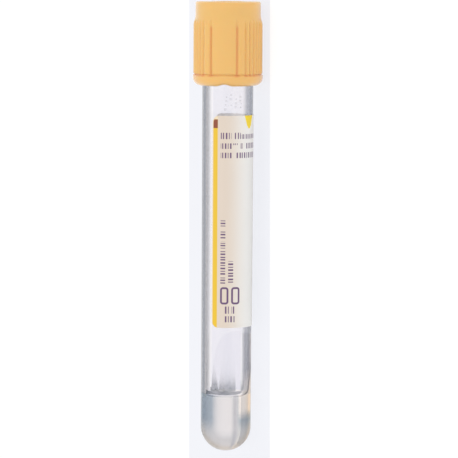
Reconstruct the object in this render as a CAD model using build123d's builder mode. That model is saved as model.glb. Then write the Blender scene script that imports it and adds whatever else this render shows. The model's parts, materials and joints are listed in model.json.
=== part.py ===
from build123d import *

import os
from math import asin, atan2, cos, degrees, hypot, modf, radians, sin

# A blood collection tube: a clear round-bottomed tube with separator gel and dried clot activator
# in it, a paper label round it, and a closure made of a rubber stopper in a moulded shield.
# Lengths are millimetres. Heights run along the tube from the lowest point of its round foot, and
# sides are angles round it, in degrees, from its front towards the right of someone facing it.

# ---- tube ----
tube_length = 100.0
tube_diameter = 11.95  # of the straight stretch at the foot
rim_diameter = 12.15  # the moulding draft opens the tube this far at its rim
straight_height = 28.0  # where the straight stretch ends and the draft begins
tube_wall = 1.1
rim_rounding = 0.3

# ---- separator gel ----
gel_height = 13.4  # of its level surface
tongue_height = 28.3  # top of the tongue that it leaves on the wall
tongue_side = 140.0  # side of the tongue's middle
tongue_root = 1.5  # thickness of the tongue where it leaves the surface
tongue_spread = 0.25  # the hollow's radius over the gel's, which narrows the tongue to an arch

# ---- clot activator ----
droplet_count = 14
droplet_drop = 18.0  # from the tube's rim down to the lowest droplet
droplet_rise = 3.4  # from the lowest to the highest
droplet_side = -6.0  # side of the first droplet
droplet_sweep = 52.0  # angle that they are spread over
droplet_radius = 0.38  # of the largest
droplet_thickness = 0.15

# ---- label ----
label_foot = 30.2
label_length = 50.3
label_thickness = 0.1
label_side = -33.0  # side of its left edge
label_sweep = 247.0
label_corner = 1.7

# ---- stopper ----
plug_depth = 8.2  # how far the plug goes into the tube
plug_clearance = 0.05  # round the plug, in the bore
plug_rounding = 0.6  # of the plug's lower edge
flange_thickness = 5.7
flange_clearance = 0.05  # round the flange, in the shield
well_radius = 3.5  # the recess in the top, which a needle enters
well_depth = 3.3
well_rounding = 1.0
thinning_radius = 3.0  # the recess in the plug's underside
thinning_depth = 4.4
thinning_rounding = 1.2

# ---- shield ----
collar_diameter = 16.56
collar_reach = 12.6  # how far the shield reaches down over the tube
collar_height = 2.6
collar_rounding = 1.9
arch_count = 3  # shallow arches in the collar's lower edge, one under each wide lobe
arch_rise = 0.4
arch_width = 5.2
groove_height = 0.3  # the groove between the collar and the grip
groove_depth = 0.2
grip_diameter = 16.48  # over the crests of the lobes
valley_depth = 0.4  # of the valleys between the lobes
shoulder_drop = 2.9  # from the top of the shield down to the end of its shoulder
shoulder_height = 3.4
ring_diameter = 15.5  # of the plain ring above the shoulder
shield_wall = 1.3
roof_thickness = 1.6
roof_rounding = 0.5
port_diameter = 8.0  # the hole in the roof
port_rounding = 0.35
lip_clearance = 0.4  # round the tube, in the mouth of the shield
lip_height = 1.2
bead_height = 0.6  # the bead that holds the stopper's flange
bead_depth = 0.45

# ---- grip: lobes in a pattern that repeats round the shield ----
pattern_repeats = 3
wide_lobe = 46.0  # angle that a wide lobe covers
wide_lobe_side = -7.2  # side of the first wide lobe's middle
side_lobe = 16.3  # angle of the lobe on each hand of a wide one
rib_count = 5  # narrow ribs that fill the rest of the pattern

# ---- how the pieces sit and how it lies ----
seat_gap = 0.02  # left between curved faces that lie on each other
low_side = 116.0  # side that comes to rest lowest: the tongue and the label weigh it down

foot_radius = tube_diameter / 2
rim_radius = rim_diameter / 2
bore_radius = foot_radius - tube_wall
gel_radius = bore_radius - seat_gap
collar_radius = collar_diameter / 2
collar_foot = tube_length - collar_reach
collar_top = collar_foot + collar_height
crest_radius = grip_diameter / 2
ring_radius = ring_diameter / 2
cavity_radius = crest_radius - shield_wall
roof_underside = tube_length + flange_thickness
head_height = roof_underside + roof_thickness
shoulder_top = head_height - shoulder_drop
shoulder_foot = shoulder_top - shoulder_height

# It lies on its side, on the round foot and on the rounded edge of the collar. The axis leans up
# towards the closure, just enough for both of those circles to touch the surface at Z = 0.
edge_rise = collar_foot + collar_rounding - foot_radius
edge_radius = collar_radius - collar_rounding
lean = asin((collar_rounding - foot_radius) / hypot(edge_rise, edge_radius)) + atan2(edge_radius, edge_rise)
foot_reach = foot_radius * (cos(lean) - 1)
head_reach = (
    (head_height - roof_rounding) * cos(lean)
    + (ring_radius - roof_rounding) * sin(lean)
    + roof_rounding
)
turn = radians(low_side)

# The tube's own frame: Z along the tube, towards the closure, and X towards its front.
tube_frame = Plane(
    origin=(0, -(foot_reach + head_reach) / 2, foot_radius * (1 - sin(lean))),
    x_dir=(sin(turn), cos(turn) * sin(lean), -cos(turn) * cos(lean)),
    z_dir=(0, cos(lean), sin(lean)),
)
tube_axis = Axis(tube_frame.origin, tube_frame.z_dir)


def tube_radius(height):
    """The tube's outer radius at a height on its wall: straight, then opened by the draft."""
    drafted = max(height - straight_height, 0.0) / (tube_length - straight_height)
    return foot_radius + drafted * (rim_radius - foot_radius)


def outward(side):
    """The direction out of the tube on one side."""
    return tube_frame.x_dir * cos(radians(side)) + tube_frame.y_dir * sin(radians(side))


def place(radius, side, height):
    """The point at a radius from the tube's axis, on one side and at a height."""
    return tube_frame.origin + outward(side) * radius + tube_frame.z_dir * height


def profile_plane(side):
    """The plane through the axis on one side: X is the radius and Y is the height."""
    return Plane(origin=tube_frame.origin, x_dir=outward(side), z_dir=outward(side - 90))


def facing_plane(side, radius):
    """The plane that faces out of the tube on one side, at a radius: Y is the height."""
    return Plane(origin=place(radius, side, 0), x_dir=outward(side + 90), z_dir=outward(side))


def on_circle(radius, side):
    """A point of a plane across the tube, at a radius and on one side."""
    return (radius * cos(radians(side)), radius * sin(radians(side)))


def corner_at(sketch, radius, height):
    """The corner of a profile that is nearest to a radius and a height."""
    return sketch.vertices().sort_by_distance((radius, height, 0))[0]


with BuildPart() as tube:
    with BuildSketch(profile_plane(0)):
        with BuildLine():
            CenterArc((0, foot_radius), foot_radius, -90, 90)
            Polyline(
                (foot_radius, foot_radius),
                (foot_radius, straight_height),
                (rim_radius, tube_length),
                (rim_radius - tube_wall, tube_length),
                (bore_radius, straight_height),
                (bore_radius, foot_radius),
            )
            CenterArc((0, foot_radius), bore_radius, 0, -90)
            Line((0, tube_wall), (0, 0))
        make_face()
    revolve(axis=tube_axis)
    fillet(tube.edges().sort_by(tube_axis)[-2:], rim_rounding)
tube.part.label = "tube"

# The gel fills the foot of the bore and leaves a tongue on one side of the wall. The hollow over
# the gel is a round space that leans away from the tongue. It is wider than the gel by the spread,
# so that it runs out through the bore's wall in an arch.
stock_height = tongue_height + tongue_root
tongue_rise = tongue_height - gel_height
hollow_shift = tongue_root + tongue_spread
hollow_lean = atan2(tongue_root, tongue_rise)
with BuildPart() as separator_gel:
    with BuildSketch(profile_plane(0)):
        with BuildLine():
            CenterArc((0, foot_radius), gel_radius, -90, 90)
            Polyline(
                (gel_radius, foot_radius),
                (gel_radius, straight_height),
                (tube_radius(stock_height) - tube_wall - seat_gap, stock_height),
                (0, stock_height),
                (0, foot_radius - gel_radius),
            )
        make_face()
    revolve(axis=tube_axis)
    with BuildSketch(tube_frame.offset(gel_height)):
        with Locations(on_circle(-hollow_shift, tongue_side)):
            Circle(gel_radius + tongue_spread)
    extrude(
        amount=(stock_height + tongue_root - gel_height) / cos(hollow_lean),
        dir=outward(tongue_side) * sin(hollow_lean) + tube_frame.z_dir * cos(hollow_lean),
        mode=Mode.SUBTRACT,
    )
separator_gel.part.label = "separator_gel"

# The clot activator is sprayed on the wall and dries as a scatter of flat domes, evenly spread by
# the fractions of two steps that never fall in line.
side_step = 0.7549
height_step = 0.5698
with BuildPart() as clot_activator:
    for number in range(droplet_count):
        side = droplet_side + droplet_sweep * modf(number * side_step)[0]
        height = tube_length - droplet_drop + droplet_rise * modf(number * height_step)[0]
        base = droplet_radius * (1 - number / (2 * droplet_count))
        dome_radius = (base**2 + droplet_thickness**2) / (2 * droplet_thickness)
        spot = place(tube_radius(height) - tube_wall - seat_gap, side, height)
        with BuildSketch(Plane(origin=spot, x_dir=outward(side + 90), z_dir=tube_frame.z_dir)):
            with BuildLine():
                RadiusArc((base, 0), (0, droplet_thickness), -dome_radius)
                Polyline((0, droplet_thickness), (0, 0), (base, 0))
            make_face()
        revolve(axis=Axis(spot, outward(side + 180)))
clot_activator.part.label = "clot_activator"

label_top = label_foot + label_length
foot_inside = tube_radius(label_foot) + seat_gap
top_inside = tube_radius(label_top) + seat_gap
corner_sweep = degrees(asin(label_corner / top_inside))
with BuildPart() as label:
    with BuildSketch(profile_plane(label_side)):
        with BuildLine():
            Polyline(
                (foot_inside, label_foot),
                (foot_inside + label_thickness, label_foot),
                (top_inside + label_thickness, label_top),
                (top_inside, label_top),
                close=True,
            )
        make_face()
    revolve(axis=tube_axis, revolution_arc=label_sweep)
    # the corners of both ends are cut round where they face outwards
    ends = ((label_side + corner_sweep, -1), (label_side + label_sweep - corner_sweep, 1))
    for side, hand in ends:
        with BuildSketch(facing_plane(side, foot_radius / 2)):
            with Locations((0, label_foot + label_length / 2)):
                with Locations((hand * label_corner, 0)):
                    Rectangle(2 * label_corner, label_length + 2 * label_corner)
                RectangleRounded(
                    2 * (label_corner + label_thickness), label_length, label_corner, mode=Mode.SUBTRACT
                )
        extrude(amount=foot_radius, mode=Mode.SUBTRACT)
label.part.label = "label"

# The stopper: a plug in the bore, and a flange that sits on the tube's rim under the roof.
plug_foot = tube_length - plug_depth
plug_radius = tube_radius(plug_foot) - tube_wall - plug_clearance
flange_radius = cavity_radius - flange_clearance
thinning_top = plug_foot + thinning_depth
well_floor = roof_underside - well_depth
with BuildPart() as stopper:
    with BuildSketch(profile_plane(0)) as stopper_profile:
        with BuildLine():
            Polyline(
                (0, thinning_top),
                (thinning_radius, thinning_top),
                (thinning_radius, plug_foot),
                (plug_radius, plug_foot),
                (plug_radius, tube_length),
                (flange_radius, tube_length),
                (flange_radius, roof_underside),
                (well_radius, roof_underside),
                (well_radius, well_floor),
                (0, well_floor),
                close=True,
            )
        make_face()
        fillet(corner_at(stopper_profile, thinning_radius, thinning_top), thinning_rounding)
        fillet(corner_at(stopper_profile, plug_radius, plug_foot), plug_rounding)
        fillet(corner_at(stopper_profile, well_radius, well_floor), well_rounding)
    revolve(axis=tube_axis)
stopper.part.label = "stopper"

# The shield: a collar, a grip with lobes, a shoulder and a plain ring, hollow under its roof.
with BuildPart() as closure_shield:
    with BuildSketch(profile_plane(0)) as shield_profile:
        with BuildLine():
            Polyline(
                (ring_radius, shoulder_top),
                (ring_radius, head_height),
                (0, head_height),
                (0, collar_foot),
                (collar_radius, collar_foot),
                (collar_radius, shoulder_foot),
            )
            shoulder_middle = ((ring_radius + collar_radius) / 2, shoulder_foot + shoulder_height / 2)
            TangentArc((collar_radius, shoulder_foot), shoulder_middle, tangent=(0, 1))
            TangentArc((ring_radius, shoulder_top), shoulder_middle, tangent=(0, -1))
        make_face()
        fillet(corner_at(shield_profile, ring_radius, head_height), roof_rounding)
        fillet(corner_at(shield_profile, collar_radius, collar_foot), collar_rounding)
    revolve(axis=tube_axis)
    # everything outside the lobes goes: each is an arc from valley to valley over its crest
    valley_radius = crest_radius - valley_depth
    rib = (360 / pattern_repeats - wide_lobe - 2 * side_lobe) / rib_count
    lobes = ([wide_lobe, side_lobe] + rib_count * [rib] + [side_lobe]) * pattern_repeats
    with BuildSketch(tube_frame.offset(collar_top)):
        Circle(collar_radius + valley_depth)
        with BuildLine():
            valley = wide_lobe_side - wide_lobe / 2
            for lobe in lobes:
                ThreePointArc(
                    on_circle(valley_radius, valley),
                    on_circle(crest_radius, valley + lobe / 2),
                    on_circle(valley_radius, valley + lobe),
                )
                valley += lobe
        make_face(mode=Mode.SUBTRACT)
    extrude(amount=head_height - collar_top, mode=Mode.SUBTRACT)
    # the groove that parts the grip from the collar
    with BuildSketch(tube_frame.offset(collar_top)):
        Circle(collar_radius + valley_depth)
        Circle(crest_radius - groove_depth, mode=Mode.SUBTRACT)
    extrude(amount=groove_height, mode=Mode.SUBTRACT)
    # the arches in the lower edge: each is cut by a rod that lies across the edge
    arch_radius = (arch_rise**2 + (arch_width / 2) ** 2) / (2 * arch_rise)
    for number in range(arch_count):
        arch_side = wide_lobe_side + 360 / arch_count * number
        with BuildSketch(facing_plane(arch_side, tube_length / 2)):
            with Locations((0, collar_foot + arch_rise - arch_radius)):
                Circle(arch_radius)
        extrude(amount=-tube_length / 2, mode=Mode.SUBTRACT)
    # the hollow: mouth, lip, skirt, the bead under the flange, the flange's seat and the port
    lip_radius = rim_radius + lip_clearance
    lip_top = collar_foot + lip_height
    bead_radius = cavity_radius - bead_depth
    bead_foot = tube_length - bead_height
    with BuildSketch(profile_plane(0)):
        with BuildLine():
            Polyline(
                (0, collar_foot),
                (lip_radius, collar_foot),
                (lip_radius, lip_top),
                (cavity_radius, lip_top + cavity_radius - lip_radius),
                (cavity_radius, bead_foot - bead_depth),
                (bead_radius, bead_foot),
                (bead_radius, tube_length),
                (cavity_radius, tube_length),
                (cavity_radius, roof_underside),
                (port_diameter / 2, roof_underside),
                (port_diameter / 2, head_height),
                (0, head_height),
                close=True,
            )
        make_face()
    revolve(axis=tube_axis, mode=Mode.SUBTRACT)
    port_edge = closure_shield.edges().filter_by(GeomType.CIRCLE).sort_by(tube_axis)[-1]
    fillet(port_edge, port_rounding)
closure_shield.part.label = "closure_shield"

os.makedirs("parts", exist_ok=True)
for piece in (tube, separator_gel, clot_activator, label, stopper, closure_shield):
    export_step(piece.part, f"parts/{piece.part.label}.step")
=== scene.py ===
"""Dresses a blood collection tube that lies on a pale floor.

Lengths in the classes are millimetres. Heights run along the tube from the lowest point of its round
foot, and sides are angles round it, in degrees, from its front towards the right.
"""
import json
import logging
from dataclasses import dataclass, field
from enum import Enum

import bpy
import numpy as np
from mathutils import Matrix, Vector


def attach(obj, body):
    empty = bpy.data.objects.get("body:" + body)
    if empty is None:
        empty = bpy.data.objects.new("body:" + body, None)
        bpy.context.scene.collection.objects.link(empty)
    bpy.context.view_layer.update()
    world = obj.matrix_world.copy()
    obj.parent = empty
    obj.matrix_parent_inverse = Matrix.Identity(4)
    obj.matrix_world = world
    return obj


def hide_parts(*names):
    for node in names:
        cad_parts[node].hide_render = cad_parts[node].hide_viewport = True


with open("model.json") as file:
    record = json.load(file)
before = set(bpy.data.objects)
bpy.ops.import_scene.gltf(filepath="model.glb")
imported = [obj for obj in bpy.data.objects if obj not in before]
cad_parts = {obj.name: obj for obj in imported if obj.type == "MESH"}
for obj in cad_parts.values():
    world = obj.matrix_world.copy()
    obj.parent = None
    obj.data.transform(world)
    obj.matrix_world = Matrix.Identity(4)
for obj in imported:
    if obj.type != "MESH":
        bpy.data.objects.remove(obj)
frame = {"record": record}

Array = np.ndarray
Pair = tuple[float, float]
Colour = tuple[float, float, float, float]
Socket = bpy.types.NodeSocket
Material = bpy.types.Material

LOG = logging.getLogger("blood_collection_tube")
MM = 0.001
LOW_SIDE = 116.0  # side of the tube that rests lowest
SIDES = 192  # steps round a turned surface


def srgb(red: float, green: float, blue: float) -> Colour:
    """A colour for a shader socket.

    Args:
        red, green, blue: the colour as a display shows it, 0 to 255.

    Returns:
        The linear colour with an alpha of 1.
    """
    shown = np.array([red, green, blue]) / 255
    linear = np.where(shown <= 0.04045, shown / 12.92, ((shown + 0.055) / 1.055) ** 2.4)
    return (*(float(x) for x in linear), 1.0)


def onset(value: Array, start: float, over: float) -> Array:
    """The share of the way from a start to start + over that a value has gone, kept between 0 and 1."""
    return np.clip((value - start) / over, 0, 1)


# ---- the tube's own axes -------------------------------------------------------------------------


@dataclass(frozen=True)
class TubeAxes:
    """The tube's own frame: an origin at the foot, in millimetres, and three unit directions."""

    origin: Array
    front: Array
    right: Array
    along: Array

    @classmethod
    def from_record(cls, record: dict) -> "TubeAxes":
        """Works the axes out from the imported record's mounts.

        The rack's mount lies on the straight stretch of the wall, which begins where the round foot
        ends, and it points at the foot. The low side is the part of straight down that is across it.

        Args:
            record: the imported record.

        Returns:
            The tube's axes.
        """
        rack = next(m for m in record["mounts"] if m["name"] == "rack_fit")
        along = -np.array(rack["axis"], float)
        along /= np.linalg.norm(along)
        middle = np.array(rack["pos_m"], float) / MM
        radius, length = rack["dims"]["r_mm"], rack["dims"]["length_mm"]
        origin = middle - along * (radius + length / 2)
        down = np.array([0.0, 0.0, -1.0])
        low = down - along * (down @ along)
        low /= np.linalg.norm(low)
        turn = np.radians(LOW_SIDE)
        front = low * np.cos(turn) - np.cross(along, low) * np.sin(turn)
        return cls(origin, front, np.cross(along, front), along)

    def outward(self, side: Array) -> Array:
        """The unit direction out of the tube on each side, in a last dimension."""
        angle = np.radians(side)
        return np.cos(angle)[..., None] * self.front + np.sin(angle)[..., None] * self.right

    def place(self, radius: Array, side: Array, height: Array) -> Array:
        """Points at a radius from the axis, on a side and at a height.

        Args:
            radius, side, height: arrays that broadcast together, in millimetres and degrees.

        Returns:
            The points in metres, with their coordinates in a last dimension.
        """
        radius, side, height = np.broadcast_arrays(radius, side, height)
        return (self.origin + radius[..., None] * self.outward(side) + height[..., None] * self.along) * MM


# ---- meshes --------------------------------------------------------------------------------------


def grid_quads(rows: int, columns: int, around: bool = True, along: bool = False) -> Array:
    """The quads of a grid of points that is stored row by row.

    Each quad joins the points (r, c), (r, c+1), (r+1, c+1) and (r+1, c).

    Args:
        rows, columns: the grid's size.
        around: whether the last column joins the first.
        along: whether the last row joins the first.

    Returns:
        An array of four point numbers for each quad.
    """
    r = np.arange(rows if along else rows - 1)[:, None]
    c = np.arange(columns if around else columns - 1)[None, :]
    r2, c2 = (r + 1) % rows, (c + 1) % columns
    quads = np.stack([r * columns + c, r * columns + c2, r2 * columns + c2, r2 * columns + c], axis=-1)
    return quads.reshape(-1, 4)


def mesh_object(
    name: str,
    points: Array,
    faces: list[Array],
    materials: list[Material],
    slots: Array | None = None,
    uv: Array | None = None,
) -> bpy.types.Object:
    """Makes a smooth mesh object with its place in its mesh.

    Args:
        name: the object's name.
        points: the vertices in metres.
        faces: arrays of quads or triangles.
        materials: the mesh's materials in the order of its slots.
        slots: a material number for each face, or None for the first material everywhere.
        uv: the piece's own map, a pair for each vertex, or None.

    Returns:
        The new object, linked to the scene.
    """
    mesh = bpy.data.meshes.new(name)
    mesh.from_pydata(points.reshape(-1, 3).tolist(), [], [f for part in faces for f in part.tolist()])
    for material in materials:
        mesh.materials.append(material)
    mesh.polygons.foreach_set("use_smooth", np.ones(len(mesh.polygons), dtype=bool))
    if slots is not None:
        mesh.polygons.foreach_set("material_index", slots.astype(np.int32))
    if uv is not None:
        corner_points = np.empty(len(mesh.loops), dtype=np.int32)
        mesh.loops.foreach_get("vertex_index", corner_points)
        layer = mesh.uv_layers.new(name="surface")
        layer.data.foreach_set("uv", uv.reshape(-1, 2)[corner_points].astype(np.float32).ravel())
    mesh.validate()
    mesh.update()
    piece = bpy.data.objects.new(name, mesh)
    bpy.context.scene.collection.objects.link(piece)
    return piece


def capped(axes: TubeAxes, radius: Array, height: Array, ends: Array) -> tuple[Array, list[Array]]:
    """Rings round the axis, with a fan of triangles to a point on the axis at each end.

    Args:
        axes: the tube's axes.
        radius, height: a row for each ring, whose points are at equal steps of the side.
        ends: the heights of the first and the last point on the axis.

    Returns:
        The vertices in metres and the faces.
    """
    step = np.arange(SIDES)
    rings = axes.place(radius, step[None, :] * 360 / SIDES, height)
    poles = axes.place(np.zeros(2), np.zeros(2), ends)
    count = len(rings)
    after, last = (step + 1) % SIDES, (count - 1) * SIDES
    start_fan = np.stack([np.full(SIDES, count * SIDES), after, step], axis=1)
    end_fan = np.stack([np.full(SIDES, count * SIDES + 1), last + step, last + after], axis=1)
    return np.concatenate([rings.reshape(-1, 3), poles]), [grid_quads(count, SIDES), start_fan, end_fan]


def turned(profile: Array, axes: TubeAxes) -> tuple[Array, list[Array]]:
    """A profile, radius and height in each row, carried round the axis that its two ends are on."""
    return capped(axes, profile[1:-1, :1], profile[1:-1, 1:], profile[[0, -1], 1])


def arc(centre: Pair, radius: float, start: float, end: float, steps: int) -> Array:
    """Points of a circular arc in a profile.

    Each point is the centre plus the radius times (cos, sin) of an angle from start to end.

    Args:
        centre: radius and height of the arc's centre.
        radius: the arc's own radius.
        start, end: its angles in degrees, from outwards towards the closure.
        steps: the number of points.

    Returns:
        The points, radius and height in each row.
    """
    angle = np.radians(np.linspace(start, end, steps))
    return np.stack([centre[0] + radius * np.cos(angle), centre[1] + radius * np.sin(angle)], axis=1)


def joined(*stretches: Array) -> Array:
    """Stretches of a profile end to end, without the points that two neighbours share."""
    line = np.concatenate([np.asarray(s, float).reshape(-1, 2) for s in stretches])
    apart = np.linalg.norm(np.diff(line, axis=0), axis=1) > 1e-6
    return line[np.concatenate([[True], apart])]


def runs(start: Pair, *stops: tuple[float, float, int]) -> Array:
    """Straight runs of a profile, each to a stop's radius and height in a number of points."""
    ends = [start, *((radius, height) for radius, height, _ in stops)]
    return joined(*(np.linspace(a, b, stop[2]) for a, b, stop in zip(ends, ends[1:], stops)))


# ---- materials -----------------------------------------------------------------------------------


class Wiring:
    """Adds nodes to a tree and joins them, with plain numbers set on the sockets."""

    def __init__(self, tree: bpy.types.NodeTree) -> None:
        """Keeps the tree that the nodes go into."""
        self.tree = tree

    def node(self, kind: str, **values: object) -> bpy.types.Node:
        """Adds a node and sets its plain properties."""
        made = self.tree.nodes.new(kind)
        for name, value in values.items():
            setattr(made, name, value)
        return made

    def feed(self, socket: Socket, value: object) -> None:
        """Links an output to a socket, or sets a plain value on it."""
        if isinstance(value, Socket):
            self.tree.links.new(value, socket)
        else:
            socket.default_value = value

    def sum(self, operation: str, *values: object, clamp: bool = False) -> Socket:
        """A Math node on plain numbers or other sockets, as its output."""
        made = self.node("ShaderNodeMath", operation=operation, use_clamp=clamp)
        for socket, value in zip(made.inputs, values):
            self.feed(socket, value)
        return made.outputs[0]

    def length(self, across: Socket, up: Socket) -> Socket:
        """The length of a pair: the square root of the sum of its squares."""
        squares = (self.sum("MULTIPLY", value, value) for value in (across, up))
        return self.sum("SQRT", self.sum("ADD", *squares))

    def past(self, value: object, start: object) -> Socket:
        """How far a value is past a start, and 0 before it."""
        return self.sum("MAXIMUM", self.sum("SUBTRACT", value, start), 0.0)

    def ramp(self, value: Socket, low: float, high: float) -> Socket:
        """A value's smooth rise from 0 at low to 1 at high."""
        made = self.node("ShaderNodeMapRange", interpolation_type="SMOOTHSTEP")
        self.feed(made.inputs["Value"], value)
        self.feed(made.inputs["From Min"], low)
        self.feed(made.inputs["From Max"], high)
        return made.outputs[0]

    def under(self, value: Socket, limit: float, soft: float) -> Socket:
        """A mask that is 1 where a value is under a limit, with an edge that is soft on both sides."""
        return self.ramp(value, limit + soft, limit - soft)

    def blend(self, mask: object, below: object, above: object) -> Socket:
        """A colour mixed from below to above by a mask."""
        made = self.node("ShaderNodeMix", data_type="RGBA")
        self.feed(made.inputs[0], mask)
        self.feed(made.inputs[6], below)
        self.feed(made.inputs[7], above)
        return made.outputs[2]

    def split(self, vector: Socket) -> list[Socket]:
        """A vector's X, Y and Z."""
        made = self.node("ShaderNodeSeparateXYZ")
        self.feed(made.inputs[0], vector)
        return list(made.outputs)

    def own_map(self) -> Socket:
        """The map that a piece's mesh carries, two numbers at each point."""
        return self.node("ShaderNodeUVMap", uv_map="surface").outputs[0]

    def pass_light(self, shader: bpy.types.Node, shade: float) -> None:
        """Lets lamplight and scattered light straight through a shader's surface.

        Args:
            shader: the surface's shader.
            shade: the share that it keeps back.
        """
        straight = self.node("ShaderNodeBsdfTransparent")
        straight.inputs["Color"].default_value = (1 - shade, 1 - shade, 1 - shade, 1.0)
        path = self.node("ShaderNodeLightPath").outputs
        mix = self.node("ShaderNodeMixShader")
        self.feed(mix.inputs[0], self.sum("MAXIMUM", path["Is Shadow Ray"], path["Is Diffuse Ray"]))
        self.feed(mix.inputs[1], shader.outputs[0])
        self.feed(mix.inputs[2], straight.outputs[0])
        self.feed(self.tree.nodes["Material Output"].inputs["Surface"], mix.outputs[0])


PRINT_NUMBERS = ("X", "Y", "Half Width", "Half Height", "Corner", "Frame", "Across", "Up")
PRINT_EDGE = 0.05  # half the width of a printed edge
SLOWER, SLOW_PHASE, SLOW_WEIGHT = 0.57, 1.0, 0.6  # the slower wave that makes the strokes uneven
INK_WAVE = (-0.15, 0.35)  # where the waves' sum turns from bare paper into ink


def printed_field() -> bpy.types.NodeTree:
    """A group that masks one rounded field of print on a sheet.

    With p the distance of a point from the field's middle, and h its half size less the corner, the
    distance to its edge is the length of max(|p| - h, 0), less the corner. The mask falls from 1 to 0
    across that edge. A frame above 0 leaves only a line of that width inside the edge. Across and Up
    count the strokes that a millimetre breaks into: the ink stays where the sine along that direction,
    with six tenths of a slower one, is above a tenth.
    """
    tree = bpy.data.node_groups.new("printed_field", "ShaderNodeTree")
    tree.interface.new_socket(name="Sheet", in_out="INPUT", socket_type="NodeSocketVector")
    for name in PRINT_NUMBERS:
        tree.interface.new_socket(name=name, in_out="INPUT", socket_type="NodeSocketFloat")
    tree.interface.new_socket(name="Mask", in_out="OUTPUT", socket_type="NodeSocketFloat")
    wires = Wiring(tree)
    given = wires.node("NodeGroupInput").outputs
    x, y, _ = wires.split(given["Sheet"])
    beyond = []
    for place, axis, half in ((x, "X", "Half Width"), (y, "Y", "Half Height")):
        off = wires.sum("ABSOLUTE", wires.sum("SUBTRACT", place, given[axis]))
        beyond.append(wires.past(off, wires.sum("SUBTRACT", given[half], given["Corner"])))
    edge = wires.sum("SUBTRACT", wires.length(*beyond), given["Corner"])
    inside = wires.under(edge, 0.0, PRINT_EDGE)
    hollow = wires.under(wires.sum("ADD", edge, given["Frame"]), 0.0, PRINT_EDGE)
    framed = wires.sum("GREATER_THAN", given["Frame"], 0.001)
    mask = wires.sum("SUBTRACT", inside, wires.sum("MULTIPLY", hollow, framed), clamp=True)
    for place, count in ((x, "Across"), (y, "Up")):
        phase = wires.sum("MULTIPLY", place, wires.sum("MULTIPLY", given[count], 2 * np.pi))
        slow = wires.sum("SINE", wires.sum("MULTIPLY_ADD", phase, SLOWER, SLOW_PHASE))
        wave = wires.sum("MULTIPLY_ADD", slow, SLOW_WEIGHT, wires.sum("SINE", phase))
        whole = wires.sum("LESS_THAN", given[count], 0.001)
        mask = wires.sum("MULTIPLY", mask, wires.sum("MAXIMUM", wires.ramp(wave, *INK_WAVE), whole))
    wires.feed(wires.node("NodeGroupOutput").inputs["Mask"], mask)
    return tree


@dataclass(frozen=True)
class PaintedEdgeShade:
    """Painted shade where clear stock is seen at a slant, by a Layer Weight's facing: 0 face on, 1 edge on.

    The shade stands in for the darker surroundings that a clear wall shows near its edges.
    """

    start: Pair
    shade: Colour
    outer: Pair
    line: Colour
    lit_shade: Colour  # painted light: where the piece's own map says lit
    lit_line: Colour
    shade_streak: Colour | None = None  # painted shade, where the map has a streak


@dataclass(frozen=True)
class Finish:
    """A plain finish, whose numbers go straight on a Principled shader's own sockets."""

    name: str
    colour: Colour
    roughness: float
    ior: float = 1.5
    transmission: float = 0.0
    subsurface: float = 0.0
    subsurface_radius: tuple[float, float, float] = (1.0, 0.5, 0.25)
    subsurface_scale: float = 0.001
    specular: float = 0.5
    alpha: float = 1.0
    coat: float = 0.0
    coat_roughness: float = 0.1

    def start(self) -> tuple[Material, Wiring, bpy.types.Node]:
        """Makes the material.

        Returns:
            The material, its wiring and its Principled node, joined to the output.
        """
        material = bpy.data.materials.new(self.name)
        material.use_nodes = True
        shader = material.node_tree.nodes["Principled BSDF"]
        values = {
            "Base Color": self.colour,
            "Roughness": self.roughness,
            "IOR": self.ior,
            "Transmission Weight": self.transmission,
            "Subsurface Weight": self.subsurface,
            "Subsurface Radius": self.subsurface_radius,
            "Subsurface Scale": self.subsurface_scale,
            "Specular IOR Level": self.specular,
            "Alpha": self.alpha,
            "Coat Weight": self.coat,
            "Coat Roughness": self.coat_roughness,
        }
        for socket, value in values.items():
            shader.inputs[socket].default_value = value
        return material, Wiring(material.node_tree), shader

    def plain(self) -> Material:
        """The finish with nothing added."""
        return self.start()[0]

    def clear(self, shade: float, edges: PaintedEdgeShade | None = None) -> Material:
        """The finish as clear stock or thin paper, whose shadow is light.

        Light on its way from a lamp or from a matt surface goes straight on, dimmed. With edges, painted
        shade darkens the stock where it is seen at a slant, in place of the darker surroundings that it
        shows there, with painted light and a painted dark streak where the piece's own map has them.

        Args:
            shade: the share of that light that each surface keeps back.
            edges: its painted shade at a slant, and its painted light, or None.

        Returns:
            The material.
        """
        material, wires, shader = self.start()
        if edges:
            slant = wires.node("ShaderNodeLayerWeight")
            slant.inputs["Blend"].default_value = 0.5
            facing = slant.outputs["Facing"]
            # painted light and a painted shade streak, as the piece's own map gives them
            lit, shade_streak, _ = wires.split(wires.own_map())
            shaded = wires.blend(lit, edges.shade, edges.lit_shade)
            lined = wires.blend(lit, edges.line, edges.lit_line)
            tint = wires.blend(wires.ramp(facing, *edges.start), self.colour, shaded)
            tint = wires.blend(wires.ramp(facing, *edges.outer), tint, lined)
            if edges.shade_streak:
                tint = wires.blend(shade_streak, tint, edges.shade_streak)
            wires.feed(shader.inputs["Base Color"], tint)
        wires.pass_light(shader, shade)
        return material


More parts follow.
